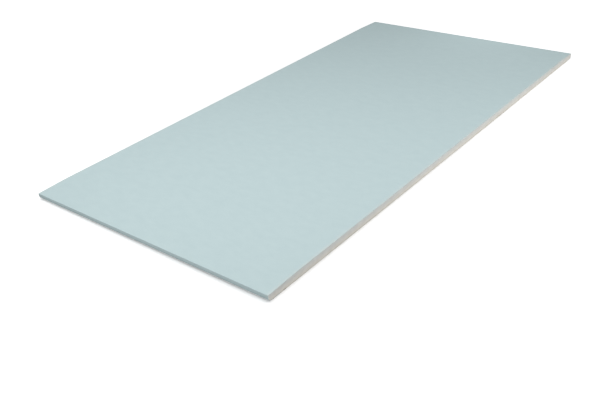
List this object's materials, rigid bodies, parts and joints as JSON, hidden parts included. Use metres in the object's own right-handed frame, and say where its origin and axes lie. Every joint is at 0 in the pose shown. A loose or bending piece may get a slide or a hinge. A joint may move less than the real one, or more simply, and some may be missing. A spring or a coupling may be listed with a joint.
{
  "type": "drywall sheet",
  "caption": "Flat gypsum board sheet with tapered edges: one paper covers the face, folds round the two bound edges and laps under the back paper, and the two sawn edges show the core.",
  "frame": {"origin": "centre of the back of the sheet, on the surface that it lies on", "axes": "+X from one bound edge to the other, along the 1200 mm side; +Y from one sawn edge to the other; +Z out of the face"},
  "size_m": [1.2, 0.6, 0.015],
  "materials": {
    "gypsum": "sawn, chalky, fine pores",
    "face_paper": "smooth matt paper, pale blue",
    "back_paper": "rough recycled paper, brown grey"
  },
  "bodies": {
    "root": {"gypsum_core": "gypsum", "face_paper": "face_paper", "back_paper": "back_paper"}
  },
  "joints": []
}
